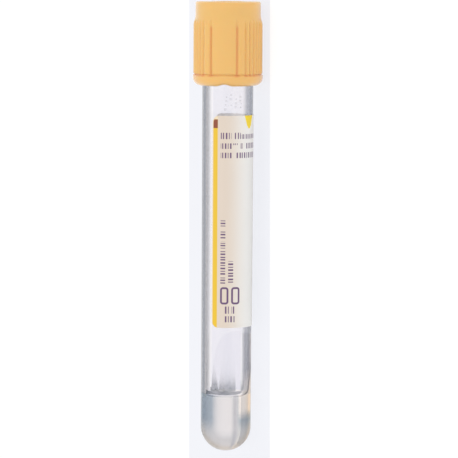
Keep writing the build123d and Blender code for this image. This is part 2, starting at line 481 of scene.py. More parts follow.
# Painted shade on the tube's slanting edges, paler and warmer as painted light where the map says lit; the
# filled skin's also has a painted dark streak.
EMPTY_EDGES = PaintedEdgeShade(
    start=(0.175, 0.36),
    shade=srgb(138, 141, 148),
    outer=(0.42, 0.56),
    line=srgb(98, 101, 108),
    lit_shade=srgb(204, 197, 188),
    lit_line=srgb(196, 184, 170),
)
FILLED_EDGES = PaintedEdgeShade(
    start=(0.01, 0.20),
    shade=srgb(137, 154, 165),
    outer=(0.30, 0.60),
    line=srgb(128, 144, 154),
    lit_shade=srgb(255, 244, 230),
    lit_line=srgb(254, 225, 186),
    shade_streak=srgb(176, 176, 178),
)
CLEAR_PLASTIC = Finish("clear_plastic", srgb(249, 248, 250), roughness=0.02, ior=1.57, transmission=1.0)
FILLED_PLASTIC = Finish("filled_plastic", srgb(252, 247, 239), roughness=0.02, ior=1.57, transmission=1.0)
WETTED_WALL = Finish("wetted_wall", srgb(250, 250, 250), roughness=0.02, ior=1.047, transmission=1.0)
GEL_SKIN = Finish("gel_skin", srgb(246, 245, 249), roughness=0.0, ior=1.0, transmission=1.0)
CLEAR_GEL = Finish("clear_gel", srgb(255, 254, 255), roughness=0.02, ior=1.04, transmission=1.0)
DRIED_SPRAY = Finish("dried_spray", srgb(226, 226, 232), roughness=0.6, specular=0.2, alpha=0.13)
LABEL_PAPER = Finish("label_paper", srgb(232, 230, 226), roughness=0.5, specular=0.35)
# the label's back: white paper, set lighter than the front as painted light on its inside face, which gets
# little light inside the tube
LABEL_BACK = Finish("label_back", srgb(252, 250, 247), roughness=0.7, specular=0.3)
STOPPER_RUBBER = Finish("stopper_rubber", srgb(168, 150, 138), roughness=0.65, specular=0.4)
GOLD_PLASTIC = Finish(
    "gold_plastic",
    srgb(243, 188, 94),
    roughness=0.38,
    subsurface=0.3,
    subsurface_radius=(1.0, 0.55, 0.2),
    subsurface_scale=0.0015,
    specular=0.7,
    coat=1.0,
    coat_roughness=0.2,
)
PALE_FLOOR = Finish("pale_floor", srgb(250, 251, 254), roughness=0.9, specular=0.1)


# ---- the pieces ----------------------------------------------------------------------------------


class Body(Enum):
    """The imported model's bodies."""

    VIAL = "vial"
    CLOSURE = "closure"


def fit(piece: bpy.types.Object, body: Body, node: str) -> None:
    """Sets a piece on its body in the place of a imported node, and reports it.

    Args:
        piece: the finished piece.
        body: the body that it moves with.
        node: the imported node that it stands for.
    """
    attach(piece, body.value)
    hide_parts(node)
    LOG.info("%s: %d faces on %s", piece.name, len(piece.data.polygons), body.value)


@dataclass
class ClearTube:
    """The moulded tube: a round foot, a straight stretch, then a slight draft up to the rim."""

    axes: TubeAxes
    length: float = 100.0
    foot_radius: float = 5.975
    rim_radius: float = 6.075
    straight_height: float = 28.0
    wall: float = 1.1
    rim_rounding: float = 0.3
    lit_from: float = 26.0  # sides and heights between which the foot takes painted light, a paler tint
    lit_to: float = 182.0
    lit_above: float = 8.2
    lit_top: float = 19.0
    lit_fade: tuple[float, float, float] = (10.0, 1.2, 2.5)  # of its sides, its foot and its top
    lit_below: float = 6.5  # the height under which the pole takes painted light as well
    pole_light: float = 0.85
    # a painted dark streak of shade on the foot
    shade_streak_side: float = 21.0
    shade_streak_width: float = 6.0
    shade_streak_foot: float = 2.0  # height over which the painted shade streak begins
    wet_right: Pair = (41.0, 95.0)  # sides of the bore that look wet to just above the tongue
    wet_over: float = 2.5
    wet_round: Pair = (-60.0, 232.0)  # sides that look wet above the gel's level as well
    wet_under: float = 0.2
    shade: float = 0.05  # the share of a lamp's light that each skin keeps back

    @property
    def bore_radius(self) -> float:
        """The inner radius of the straight stretch."""
        return self.foot_radius - self.wall

    def radius_at(self, height: Array) -> Array:
        """The outer radius at a height: the foot's, plus the draft's share above the straight stretch."""
        drafted = np.maximum(height - self.straight_height, 0) / (self.length - self.straight_height)
        return self.foot_radius + drafted * (self.rim_radius - self.foot_radius)

    def profile(self) -> Array:
        """The section of the wall.

        A quarter circle, a straight run and a drafted run outside, two rounded corners at the rim, and
        the same runs back down inside, one wall nearer to the axis.
        """
        foot, bore, straight = self.foot_radius, self.bore_radius, self.straight_height
        outer, inner = self.rim_radius, self.rim_radius - self.wall
        bend, top = self.rim_rounding, self.length - self.rim_rounding
        return joined(
            arc((0, foot), foot, -90, 0, 40),
            runs((foot, foot), (foot, straight, 12), (outer, top, 30)),
            arc((outer - bend, top), bend, 0, 90, 8),
            arc((inner + bend, top), bend, 90, 180, 8),
            runs((inner, top), (bore, straight, 30), (bore, foot, 110)),
            arc((0, foot), bore, 0, -90, 36),
        )

    def painted_light_map(self, line: Array) -> Array:
        """How much painted light, a paler tint, the foot takes at each vertex, and how much of a faint
        painted shade streak.

        The painted light is a band of sides with soft edges, between two heights, and the pole. The painted
        shade streak is exp(-(a / width)^2) for an angle a from its side.

        Args:
            line: the section's points.

        Returns:
            A pair for each vertex of the turned section.
        """
        side = np.arange(SIDES) * 360 / SIDES
        height = line[1:-1, 1][:, None]
        side_fade, foot_fade, top_fade = self.lit_fade
        beside = onset(side, self.lit_from, side_fade) * onset(side, self.lit_to, -side_fade)
        beside = beside[None, :] * onset(height, self.lit_above, foot_fade)
        beside = beside * onset(height, self.lit_top, -top_fade)
        below = self.pole_light * np.sqrt(onset(height, self.lit_below, -self.lit_below))
        off = (side - self.shade_streak_side + 180) % 360 - 180
        shade_streak = np.exp(-((off / self.shade_streak_width) ** 2))[None, :] * onset(height, 0, self.shade_streak_foot)
        lit = np.concatenate([np.maximum(beside, below).ravel(), np.ones(2)])
        return np.stack([lit, np.concatenate([shade_streak.ravel(), np.zeros(2)])], axis=-1)

    def wetted(self, middle: Array, gel: "SeparatorGel") -> Array:
        """Which faces of the bore look wet.

        They reach up to the gel's edge. On the right they go on to just above the tongue, and on the
        far left they stop just under the gel's level, so that little light enters by a dry wall and is
        thrown back at a wet one.

        Args:
            middle: the height of each row of faces, as a column.
            gel: the gel that the tube holds.

        Returns:
            A truth for each row and side.
        """
        turn = np.radians((np.arange(SIDES) + 0.5) * 360 / SIDES - gel.tongue_side)
        side = (np.degrees(turn) + gel.tongue_side + 90) % 360 - 90
        right = (side > self.wet_right[0]) & (side < self.wet_right[1])
        around = (side > self.wet_round[0]) & (side < self.wet_round[1])
        wet = middle < gel.top_edge(turn)
        wet |= (middle < gel.tongue_height + self.wet_over) & right
        return wet & ((middle < gel.level - self.wet_under) | around)

    def build(self, gel: "SeparatorGel") -> None:
        """Builds the tube and sets it on the vial.

        Its faces take one of four skins: outside, outside where gel fills the bore, the dry bore, and
        the bore's wall where gel wets it and the light hardly bends.

        Args:
            gel: the gel that the tube holds.
        """
        line = self.profile()
        points, faces = turned(line, self.axes)
        middle = (line[1:-2, 1:] + line[2:-1, 1:]) / 2
        inside = np.arange(1, len(line) - 2) > int(np.argmax(line[:, 1]))
        skin = np.where(inside[:, None], 2 + self.wetted(middle, gel), middle < gel.level)
        slots = np.concatenate([skin.ravel(), np.full(SIDES, 1), np.full(SIDES, 3)])
        skins = [
            CLEAR_PLASTIC.clear(self.shade, EMPTY_EDGES),
            FILLED_PLASTIC.clear(self.shade, FILLED_EDGES),
            CLEAR_PLASTIC.clear(self.shade),
            WETTED_WALL.clear(self.shade),
        ]
        piece = mesh_object("clear_tube", points, faces, skins, slots, self.painted_light_map(line))
        fit(piece, Body.VIAL, "tube")


@dataclass(frozen=True)
class CloudyPatch:
    """A cloudy patch on the gel's hollow, which starts at the level surface and thins upwards."""

    side: float
    half: float  # half its width, as an angle
    reach: float  # the height over the surface at which it is half as deep
    tip: float  # the height at which its width ends

    def depth(self, side: Array, above: Array, fade: float) -> Array:
        """How cloudy it is: 1 / (1 + (h / reach)^3) inside the width that is left at a height h."""
        width = self.half * (1 - above / self.tip)
        return onset(width - np.abs(side - self.side), 0, fade) / (1 + (above / self.reach) ** 3)


@dataclass
class SeparatorGel:
    """The gel in the foot: a level surface, and a thin tongue left on one side of the wall."""

    axes: TubeAxes
    tube: ClearTube
    level: float = 13.4
    tongue_height: float = 28.3
    tongue_side: float = 140.0
    tongue_root: float = 1.5
    tongue_spread: float = 0.25
    creep: float = 1.5  # how far the surface climbs the wall at its edge
    gap: float = 0.01  # between the gel and the wall
    shade: float = 0.1  # the share of a lamp's light that each skin keeps back
    patches: tuple[CloudyPatch, CloudyPatch] = (
        CloudyPatch(171.0, 41.0, reach=2.8, tip=20.0),
        CloudyPatch(222.0, 22.0, reach=4.0, tip=8.5),
    )
    patch_fade: float = 6.0  # angle over which a patch ends at its sides
    patch_colour: Colour = srgb(96, 103, 109)
    mottle_scale: float = 900.0
    mottle_range: Pair = (0.3, 0.7)  # where the noise turns from its low into its high
    mottle: float = 0.16  # the share of a patch that comes and goes

    @property
    def wall_radius(self) -> float:
        """The gel's outer radius."""
        return self.tube.bore_radius - self.gap

    @property
    def shift(self) -> float:
        """How far the hollow over the gel is set off at the level surface, away from the tongue."""
        return self.tongue_root + self.tongue_spread

    def top_edge(self, turn: Array) -> Array:
        """The height at which the gel ends on the wall.

        The hollow is a circle of radius R set off by d, and it meets a wall of radius g, at an angle t
        from the tongue, where d = g cos t - sqrt(R^2 - (g sin t)^2). Its offset rises evenly with
        height, which gives the height back.

        Args:
            turn: angles from the tongue's middle, in radians.

        Returns:
            The height for each angle, and never less than the edge of the level surface.
        """
        wall = self.wall_radius
        hollow = wall + self.tongue_spread
        offset = wall * np.cos(turn) - np.sqrt(hollow**2 - (wall * np.sin(turn)) ** 2)
        climb = (offset + self.shift) / self.tongue_root
        return np.maximum(self.level + climb * (self.tongue_height - self.level), self.level + self.creep)

    def hollow_radius(self, turn: Array, height: Array) -> Array:
        """The hollow's distance from the axis: d cos t + sqrt(R^2 - (d sin t)^2), within the wall."""
        climb = (height - self.level) / (self.tongue_height - self.level)
        offset = climb * self.tongue_root - self.shift
        hollow = self.wall_radius + self.tongue_spread
        reach = offset * np.cos(turn) + np.sqrt(hollow**2 - (offset * np.sin(turn)) ** 2)
        return np.minimum(reach, self.wall_radius)

    def cloud_map(self, side: Array, height: Array) -> Array:
        """How cloudy the hollow's skin is at each vertex: the deeper of the patches there."""
        above = np.maximum(height - self.level, 0)
        return np.maximum(*(patch.depth(side, above, self.patch_fade) for patch in self.patches))

    def hollow_skin(self) -> Material:
        """The hollow's skin: clear, with mottled cloudy patches where the piece's own map has them."""
        material = CLEAR_GEL.clear(self.shade)
        wires = Wiring(material.node_tree)
        noise = wires.node("ShaderNodeTexNoise")
        noise.inputs["Scale"].default_value = self.mottle_scale
        wires.feed(noise.inputs["Vector"], wires.node("ShaderNodeTexCoord").outputs["Object"])
        speckle = wires.sum("MULTIPLY", wires.ramp(noise.outputs["Fac"], *self.mottle_range), self.mottle)
        patchy = wires.sum("ADD", speckle, 1 - self.mottle)
        cloud = wires.sum("MULTIPLY", wires.split(wires.own_map())[0], patchy)
        tint = wires.blend(cloud, CLEAR_GEL.colour, self.patch_colour)
        wires.feed(material.node_tree.nodes["Principled BSDF"].inputs["Base Color"], tint)
        return material

    def build(self) -> None:
        """Builds the gel on a grid of sides by steps of a closed path, and sets it on the vial.

        The path goes from the foot's pole up the wall to the gel's edge, back down the hollow, round a
        quarter circle into the level surface and in to the axis.
        """
        side = (np.arange(SIDES) * 360 / SIDES)[None, :]
        turn = np.radians(side - self.tongue_side)
        wall, centre = self.wall_radius, self.tube.foot_radius
        edge = self.top_edge(turn)
        low = self.level + self.creep

        bowl = arc((0, centre), wall, -90, 0, 36)[1:]
        climb = np.linspace(0, 1, 60)[1:, None]
        bend = np.radians(np.linspace(0, 90, 10))[1:, None]
        inwards = np.linspace(1, 0, 24)[1:-1, None]

        down = edge + (low - edge) * climb
        foot_of_hollow = self.hollow_radius(turn, np.full_like(edge, low))
        radius = np.concatenate([
            np.broadcast_to(bowl[:, :1], (len(bowl), SIDES)),
            np.full((len(climb), SIDES), wall),
            self.hollow_radius(turn, down),
            foot_of_hollow - self.creep * (1 - np.cos(bend)),
            (foot_of_hollow - self.creep) * inwards,
        ])
        height = np.concatenate([
            np.broadcast_to(bowl[:, 1:], (len(bowl), SIDES)),
            centre + (edge - centre) * climb,
            down,
            low - self.creep * np.sin(bend) + 0 * edge,
            np.full((len(inwards), SIDES), self.level),
        ])
        points, faces = capped(self.axes, radius, height, np.array([centre - wall, self.level]))
        slots = np.ones((len(radius) - 1, SIDES))
        slots[len(bowl) + len(climb) - 1 :] = 0
        slots = np.concatenate([slots.ravel(), np.ones(SIDES), np.zeros(SIDES)])
        cloud = np.concatenate([self.cloud_map(side, height).ravel(), np.zeros(2)])
        uv = np.stack([cloud, 0 * cloud], axis=-1)
        skins = [self.hollow_skin(), GEL_SKIN.clear(self.shade)]
        piece = mesh_object("gel_with_tongue", points, faces, skins, slots, uv)
        fit(piece, Body.VIAL, "separator_gel")


@dataclass
class ClotActivator:
    """Dried droplets of a sprayed additive: flat domes on the inside of the wall."""

    axes: TubeAxes
    tube: ClearTube
    count: int = 14
    lowest: float = 82.0
    rise: float = 3.4
    first_side: float = -6.0
    sweep: float = 52.0
    radius: float = 0.38
    thickness: float = 0.15
    side_step: float = 0.7549
    height_step: float = 0.5698
    gap: float = 0.02
    segments: int = 24

    def build(self) -> None:
        """Builds every droplet in one mesh and sets it on the vial.

        Droplet n is on the side first + sweep * frac(n * side step) and at the height lowest + rise *
        frac(n * height step). Each is a grid of rings: at a share s of its radius, the dome stands
        thickness * (1 - s^2) off its flat back.
        """
        number = np.arange(self.count)
        side = self.first_side + self.sweep * np.modf(number * self.side_step)[0]
        height = self.lowest + self.rise * np.modf(number * self.height_step)[0]
        base = (self.radius * (1 - number / (2 * self.count)))[:, None, None]
        wall = self.tube.radius_at(height) - self.tube.wall - self.gap

        dome = np.linspace(0.1, 1, 8)
        share = np.concatenate([dome, np.linspace(0.999, 0.1, 3)])[None, :, None]
        lift = np.concatenate([1 - dome**2, np.zeros(3)])[None, :, None]
        angle = np.arange(self.segments)[None, None, :] * 2 * np.pi / self.segments
        across = base * share * np.cos(angle)
        up = base * share * np.sin(angle)
        off = self.thickness * lift + 0 * angle

        spots = self.axes.place(wall, side, height)
        out = self.axes.outward(side)
        beside = np.cross(self.axes.along, out)
        rings = (
            spots[:, None, None]
            + MM * across[..., None] * beside[:, None, None]
            + MM * up[..., None] * self.axes.along
            - MM * off[..., None] * out[:, None, None]
        )
        tops = spots - MM * self.thickness * out
        levels = share.shape[1]
        each = levels * self.segments
        starts = (number * each)[:, None, None]
        quads = (starts + grid_quads(levels, self.segments)[None]).reshape(-1, 4)
        step = np.arange(self.segments)
        after = (step + 1) % self.segments
        first, last = starts[:, 0], starts[:, 0] + each - self.segments
        tips = np.broadcast_to((self.count * each + number)[:, None], (self.count, self.segments))
        top_fan = np.stack([tips, first + after, first + step], axis=-1).reshape(-1, 3)
        back_fan = np.stack([tips + self.count, last + step, last + after], axis=-1).reshape(-1, 3)
        points = np.concatenate([rings.reshape(-1, 3), tops, spots])
        piece = mesh_object("dried_droplets", points, [quads, top_fan, back_fan], [DRIED_SPRAY.plain()])
        fit(piece, Body.VIAL, "clot_activator")


@dataclass(frozen=True)
class PrintField:
    """One rounded field of print on the label, measured from its left edge and its foot."""

    left: float
    right: float
    foot: float
    top: float
    corner: float = 0.12
    frame: float = 0.0
    across: float = 0.0  # strokes to a millimetre, side by side
    up: float = 0.0  # strokes to a millimetre, one over the other

    def numbers(self) -> tuple[float, ...]:
        """The values that PRINT_NUMBERS names, in the same order."""
        middle = ((self.left + self.right) / 2, (self.foot + self.top) / 2)
        half = ((self.right - self.left) / 2, (self.top - self.foot) / 2)
        return (*middle, *half, self.corner, self.frame, self.across, self.up)


@dataclass
class PaperLabel:
    """The printed paper label wrapped round the tube."""

    axes: TubeAxes
    tube: ClearTube
    foot: float = 30.2
    length: float = 50.3
    thickness: float = 0.1
    gap: float = 0.02
    left_side: float = -34.6
    sweep: float = 248.6
    corner: float = 1.7
    shade: float = 0.2  # the share of the light from behind that each face keeps back
    rim: float = 0.22  # bare paper round the strip's edge and its end
    edge: float = 0.05  # half the width of a printed edge
    strip_width: float = 1.38
    strip_edge: float = 0.1
    end_foot: float = 2.95  # the dark end of the strip, from the label's top down to its foot
    end_top: float = 0.87
    wedge_middle: float = 9.74
    wedge_length: float = 3.1
    wedge_top: float = 1.62  # half its width at the label's top
    wedge_tip: float = 0.55
    wedge_edge: float = 0.06
    strip_colour: Colour = srgb(243, 199, 60)
    strip_end_colour: Colour = srgb(151, 84, 60)
    # the wedge's own yellow print, the same as the strip's, painted brighter as painted light on the label's
    # right
    lit_wedge_colour: Colour = srgb(255, 223, 58)
    ink_colour: Colour = srgb(112, 84, 120)
    rim_paper: Colour = srgb(246, 226, 190)
    warm_paper: Colour = srgb(231, 215, 197)
    # paler, cooler paper: painted light and reflection on the label's right
    painted_light_paper: Colour = srgb(249, 246, 239)
    painted_light_stretch: Pair = (3.0, 9.5)  # from the left edge, where the warm paper turns into paler, cooler painted light and reflection
    fields: list[PrintField] = field(
        default_factory=lambda: [
            PrintField(2.15, 4.7, 44.8, 46.3, across=1.5),
            PrintField(5.5, 7.0, 44.8, 46.3, across=1.3),
            PrintField(7.0, 13.4, 44.8, 45.9, across=1.6),
            PrintField(2.15, 4.9, 42.5, 43.8, across=1.6),
            PrintField(5.1, 6.2, 43.4, 43.8, across=2.0),
            PrintField(6.95, 7.7, 42.5, 43.8, across=2.2),
            PrintField(8.4, 13.4, 42.5, 43.8, across=1.6),
            PrintField(2.15, 5.05, 40.3, 41.6, across=1.6),
            PrintField(5.7, 12.8, 40.3, 41.6, across=1.5),
            PrintField(2.2, 3.35, 10.5, 12.1, up=1.7),
            PrintField(2.2, 3.35, 12.6, 18.4, up=1.5),
            PrintField(2.2, 3.35, 18.9, 20.6, up=1.7),
            PrintField(2.2, 3.35, 21.1, 23.3, up=1.5),
            PrintField(2.2, 3.35, 24.0, 25.7, up=1.7),
            PrintField(4.05, 5.25, 10.5, 15.9, up=1.4),
            PrintField(2.15, 4.15, 5.6, 9.7, corner=0.7, frame=0.45),
            PrintField(4.8, 6.9, 5.6, 9.7, corner=0.7, frame=0.45),
            PrintField(3.3, 4.4, 3.4, 5.1, across=1.5),
            PrintField(4.9, 5.9, 3.4, 5.1, across=1.7),
            PrintField(3.3, 5.9, 1.35, 2.8, across=1.5),
        ]
    )

    def paper(self) -> Material:
        """The printed face: a sheet that turns paler and cooler to the right as painted light and
        reflection, with a coloured strip, a wedge and fields of plain print.
        """
        material, wires, shader = LABEL_PAPER.start()
        sheet = wires.own_map()
        x, y, _ = wires.split(sheet)
        group = printed_field()
        ink = 0.0
        for printed in self.fields:
            placed = wires.node("ShaderNodeGroup", node_tree=group)
            wires.feed(placed.inputs["Sheet"], sheet)
            for name, number in zip(PRINT_NUMBERS, printed.numbers()):
                placed.inputs[name].default_value = number
            ink = wires.sum("MAXIMUM", placed.outputs["Mask"], ink)
        strip = wires.under(x, self.strip_width, self.strip_edge)
        inside = wires.sum("MULTIPLY", strip, self.inside_corner(wires, x, y))
        bar = wires.sum("MULTIPLY", inside, wires.under(y, self.length - self.end_top, self.edge))
        foot = self.length - self.end_foot
        end = wires.sum("MULTIPLY", bar, wires.ramp(y, foot - self.edge, foot + self.edge))
        layers = (
            (ink, self.ink_colour),
            (strip, self.rim_paper),
            (bar, self.strip_colour),
            (end, self.strip_end_colour),
            (self.wedge(wires, x, y), self.lit_wedge_colour),
        )
        # painted light and reflection: the warm paper turns paler and cooler towards the right
        colour = wires.blend(wires.ramp(x, *self.painted_light_stretch), self.warm_paper, self.painted_light_paper)
        for mask, above in layers:
            colour = wires.blend(mask, colour, above)
        wires.feed(shader.inputs["Base Color"], colour)
        wires.pass_light(shader, self.shade)
        return material

    def inside_corner(self, wires: Wiring, x: Socket, y: Socket) -> Socket:
        """A mask that keeps the strip a rim inside the label's left edge and its upper corner.

        It is 1 where the distance to the corner's centre, counted only up and to the left, is less than
        the corner's radius less the rim.
        """
        left, above = wires.past(self.corner, x), wires.past(y, self.length - self.corner)
        return wires.under(wires.length(left, above), self.corner - self.rim, self.edge)

    def wedge(self, wires: Wiring, x: Socket, y: Socket) -> Socket:
        """A mask for the wedge that hangs from the label's top.

        Its half width shrinks evenly downwards, and its tip is a half circle.
        """
        foot = self.length - self.wedge_length
        slope = (self.wedge_top - self.wedge_tip) / self.wedge_length
        half = wires.sum("ADD", wires.sum("MULTIPLY", wires.sum("SUBTRACT", y, foot), slope), self.wedge_tip)
        off = wires.sum("ABSOLUTE", wires.sum("SUBTRACT", x, self.wedge_middle))
        across = wires.under(wires.sum("SUBTRACT", off, half), 0.0, self.wedge_edge)
        reach = wires.length(off, wires.past(foot + self.wedge_tip, y))
        above = wires.sum("GREATER_THAN", y, foot + self.wedge_tip)
        rounded = wires.sum("MAXIMUM", above, wires.under(reach, self.wedge_tip, self.wedge_edge))
        return wires.sum("MULTIPLY", across, rounded)

    def build(self) -> None:
        """Builds the sheet with its rounded corners and sets it on the vial.

        It is a grid of heights by shares of the width. Near each end the width is less by
        c - sqrt(c^2 - (c - e)^2) on both sides, for a corner radius c at a distance e from the end.
        """
        ends = self.corner * (1 - np.cos(np.radians(np.linspace(0, 90, 14))))
        middle = np.linspace(self.corner, self.length - self.corner, 50)[1:-1]
        up = np.concatenate([ends, middle, self.length - ends[::-1]])[:, None]
        near = np.minimum(np.minimum(up, self.length - up), self.corner)
        inset = self.corner - np.sqrt(np.maximum(self.corner**2 - (self.corner - near) ** 2, 0))
        inner = self.tube.radius_at(self.foot + up) + self.gap
        outer = inner + self.thickness
        width = np.radians(self.sweep) * outer
        x = inset + np.linspace(0, 1, 180)[None, :] * (width - 2 * inset)
        side = self.left_side + np.degrees(x / outer)
        outside, inside = (self.axes.place(r, side, self.foot + up).reshape(-1, 3) for r in (outer, inner))
        rows, columns = x.shape
        total = rows * columns
        flat = np.stack([x, np.broadcast_to(up, x.shape)], axis=-1).reshape(-1, 2)

        front = grid_quads(rows, columns, around=False)
        back = front[:, ::-1] + total
        r, c = np.arange(rows), np.arange(columns)
        right, left = r[1:] * columns + columns - 1, r[-2:0:-1] * columns
        border = np.concatenate([c, right, (rows - 1) * columns + c[-2::-1], left])
        following = np.roll(border, -1)
        rim = np.stack([following, border, border + total, following + total], axis=1)
        slots = np.concatenate([np.zeros(len(front)), np.ones(len(back) + len(rim))])
        piece = mesh_object(
            "paper_label",
            np.concatenate([outside, inside]),
            [front, back, rim],
            [self.paper(), LABEL_BACK.clear(self.shade)],
            slots,
            np.tile(flat, (2, 1)),
        )
        fit(piece, Body.VIAL, "label")


@dataclass
class RubberStopper:
    """The stopper: a plug in the bore and a flange on the rim, with a well in its top."""

    axes: TubeAxes
    tube: ClearTube
    plug_depth: float = 8.2
    plug_clearance: float = 0.05
    plug_rounding: float = 0.6
    flange_radius: float = 6.89
    flange_top: float = 105.7
    well_radius: float = 3.5
    well_depth: float = 3.3
    well_rounding: float = 1.0
    hollow_radius: float = 3.0
    hollow_depth: float = 4.4
    hollow_rounding: float = 1.2
    edge: float = 0.15  # tiny round on the flange's edges

    def profile(self) -> Array:
        """The section, from the hollow in the plug's underside round the flange to the well's floor."""
        foot, seat = self.tube.length - self.plug_depth, self.tube.length
        plug = float(self.tube.radius_at(np.array(foot))) - self.tube.wall - self.plug_clearance
        ceiling, floor = foot + self.hollow_depth, self.flange_top - self.well_depth
        hollow, hollow_bend, plug_bend = self.hollow_radius, self.hollow_rounding, self.plug_rounding
        flange, top, e = self.flange_radius, self.flange_top, self.edge
        well, well_bend = self.well_radius, self.well_rounding
        return joined(
            [(0, ceiling)],
            arc((hollow - hollow_bend, ceiling - hollow_bend), hollow_bend, 90, 0, 12),
            runs((hollow, ceiling - hollow_bend), (hollow, foot + e, 4)),
            arc((hollow + e, foot + e), e, 180, 270, 5),
            arc((plug - plug_bend, foot + plug_bend), plug_bend, -90, 0, 10),
            runs((plug, foot + plug_bend), (plug, seat, 10), (flange - e, seat, 4)),
            arc((flange - e, seat + e), e, -90, 0, 5),
            arc((flange - e, top - e), e, 0, 90, 5),
            arc((well + e, top - e), e, 90, 180, 5),
            arc((well - well_bend, floor + well_bend), well_bend, 0, -90, 12),
            [(0, floor)],
        )

    def build(self) -> None:
        """Builds the stopper and sets it on the closure."""
        points, faces = turned(self.profile(), self.axes)
        piece = mesh_object("rubber_stopper", points, faces, [STOPPER_RUBBER.plain()])
        fit(piece, Body.CLOSURE, "stopper")


@dataclass
class MouldedShield:
    """The shield over the stopper: a collar, a grip with lobes, a shoulder, a plain ring and a roof."""

    axes: TubeAxes
    foot: float = 87.4
    collar_radius: float = 8.28
    collar_height: float = 2.6
    collar_rounding: float = 1.9
    ledge_rounding: float = 0.1
    arch_count: int = 3
    arch_rise: float = 0.4
    arch_width: float = 5.2
    groove_height: float = 0.3
    groove_depth: float = 0.2
    groove_corner: float = 0.05
    crest_radius: float = 8.24
    valley_depth: float = 0.4
    shoulder_foot: float = 101.0
    shoulder_height: float = 3.4
    ring_radius: float = 7.75
    top: float = 107.3
    top_rounding: float = 0.5
    port_radius: float = 4.0
    port_rounding: float = 0.35
    roof: float = 1.6
    seat: float = 100.0
    cavity_radius: float = 6.94
    lip_radius: float = 6.475
    lip_height: float = 1.2
    lip_chamfer: float = 0.08
    bead_height: float = 0.6
    bead_depth: float = 0.45
    pattern_repeats: int = 3
    wide_lobe: float = 46.0
    wide_lobe_side: float = -7.2
    side_lobe: float = 16.3
    rib_count: int = 5
    groove_share: float = 0.7  # how much of a valley's depth lies in its narrow groove
    groove_width: float = 0.42
    # painted shade in the valleys, the groove and under the collar's ledge, where shade falls
    recess_shade_colour: Colour = srgb(232, 152, 62)
    shade_stretch: Pair = (0.35, 1.05)  # from where the painted shade starts to where it is full
    rib_shade: float = 0.62
    lip_shade_reach: float = 0.5  # how far down the collar the painted shade under its ledge reaches
    lip_shade: Pair = (0.56, 0.5)  # painted shade all round the collar's lip, and what its valleys add
    groove_shade: Pair = (0.15, 1.15)
    shade_fade: float = 1.6  # height over which the valleys' painted shade ends on the shoulder
    sides: int = 480

    def in_pattern(self, side: Array) -> Array:
        """The angle of each side past the start of its pattern, where a wide lobe begins."""
        return (side - self.wide_lobe_side + self.wide_lobe / 2) % (360 / self.pattern_repeats)

    def lobe_depth(self, side: Array) -> Array:
        """How far the grip lies inside its crests on each side.

        The lobes of one pattern are laid end to end and repeat round the shield. Across a lobe, with u
        from -1 at one valley to 1 at the next and d the way to the nearer one, the depth is a share of
        the valley's times exp(-(d / width)^2), and the rest of it times u^2, as on a flat arc.
        """
        rib = (360 / self.pattern_repeats - self.wide_lobe - 2 * self.side_lobe) / self.rib_count
        lobes = np.array([self.wide_lobe, self.side_lobe, *[rib] * self.rib_count, self.side_lobe])
        edges = np.concatenate([[0], np.cumsum(lobes)])
        inside = self.in_pattern(side)
        which = np.clip(np.searchsorted(edges, inside, side="right") - 1, 0, len(lobes) - 1)
        share = (inside - edges[which]) / lobes[which] * 2 - 1
        away = (1 - np.abs(share)) * np.radians(lobes[which] / 2) * self.crest_radius
        groove = np.exp(-((away / self.groove_width) ** 2))
        return self.valley_depth * (self.groove_share * groove + (1 - self.groove_share) * share**2)

    def outer_radius(self, side: Array, height: Array) -> Array:
        """The outer radius of the grip, the shoulder and the ring.

        The shoulder is two equal arcs that leave the grip and meet the ring without a corner: each
        steps in by r - sqrt(r^2 - h^2) over half the height. The surface is the nearer of the shoulder
        and the lobes.
        """
        half, step = self.shoulder_height / 2, (self.collar_radius - self.ring_radius) / 2
        bend = (half**2 + step**2) / (2 * step)
        up = np.clip(height - self.shoulder_foot, 0, half)
        down = np.clip(self.shoulder_foot + 2 * half - height, 0, half)
        low = self.collar_radius - (bend - np.sqrt(bend**2 - up**2))
        high = self.ring_radius + (bend - np.sqrt(bend**2 - down**2))
        shoulder = np.where(height < self.shoulder_foot + half, low, high)
        return np.minimum(shoulder, self.crest_radius - self.lobe_depth(side))

    def valley_shade(self, side: Array) -> Array:
        """How deep the painted shade in each valley is: full beside a wide lobe, and less among the ribs."""
        inside = self.in_pattern(side)
        past_last = 360 / self.pattern_repeats - inside
        nearer = np.minimum(np.minimum(inside, past_last), np.abs(inside - self.wide_lobe))
        return np.where(nearer < self.side_lobe / 2, 1.0, self.rib_shade)

    def plastic(self) -> Material:
        """The gold plastic, with a deeper colour painted in the hollows as painted shade."""
        material, wires, shader = GOLD_PLASTIC.start()
        recess_shade = wires.ramp(wires.split(wires.own_map())[0], *self.shade_stretch)
        wires.feed(shader.inputs["Base Color"], wires.blend(recess_shade, GOLD_PLASTIC.colour, self.recess_shade_colour))
        return material

    def collar(self) -> Array:
        """The collar's section: its rounded foot, its side and the small round of its upper edge."""
        radius, bend, e = self.collar_radius, self.collar_rounding, self.ledge_rounding
        top = self.foot + self.collar_height
        return joined(
            arc((radius - bend, self.foot + bend), bend, -86, 0, 26),
            runs((radius, self.foot + bend), (radius, top - e, 6)),
            arc((radius - e, top - e), e, 0, 90, 4),
        )

